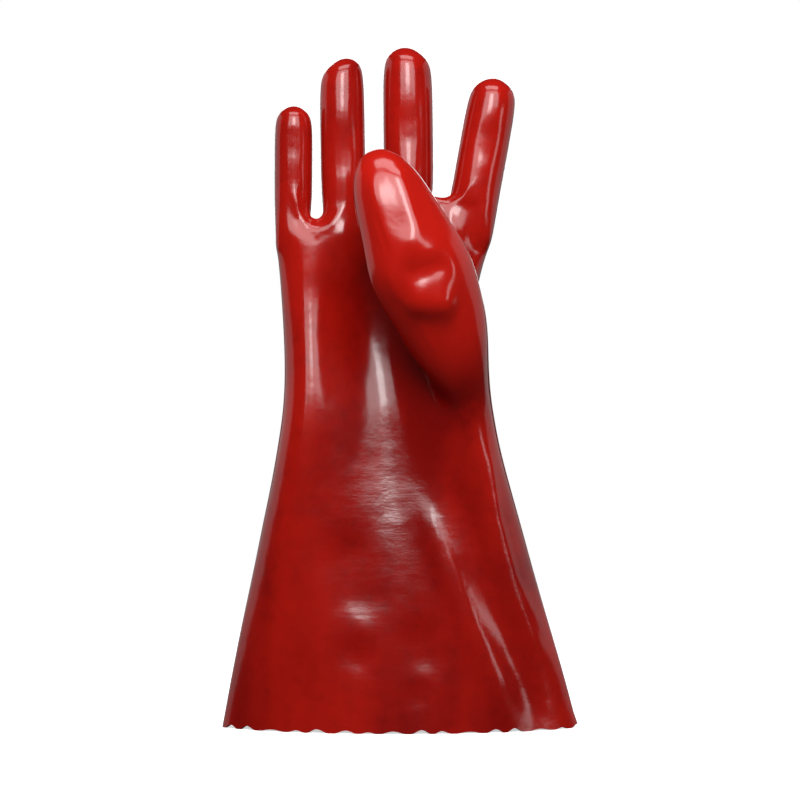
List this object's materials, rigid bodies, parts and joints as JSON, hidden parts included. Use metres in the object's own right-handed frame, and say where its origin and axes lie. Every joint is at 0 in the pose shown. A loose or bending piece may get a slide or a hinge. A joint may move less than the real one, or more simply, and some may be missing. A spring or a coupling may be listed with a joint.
{
  "type": "pvc coated work glove",
  "caption": "Long PVC coated work glove for the right hand, with a flared gauntlet, a scalloped hem and the thumb held in front of the palm.",
  "frame": {"origin": "middle of the bounding box across and from front to back, on the surface that the hem stands on", "axes": "+Z from the hem to the fingertips; the palm faces -Y; the thumb is on the +X side"},
  "size_m": [0.2084, 0.1, 0.4],
  "materials": {
    "pvc": "glossy dipped PVC in deep red, with a fine orange peel"
  },
  "bodies": {
    "root": {"glove_shell": "pvc"}
  },
  "joints": []
}
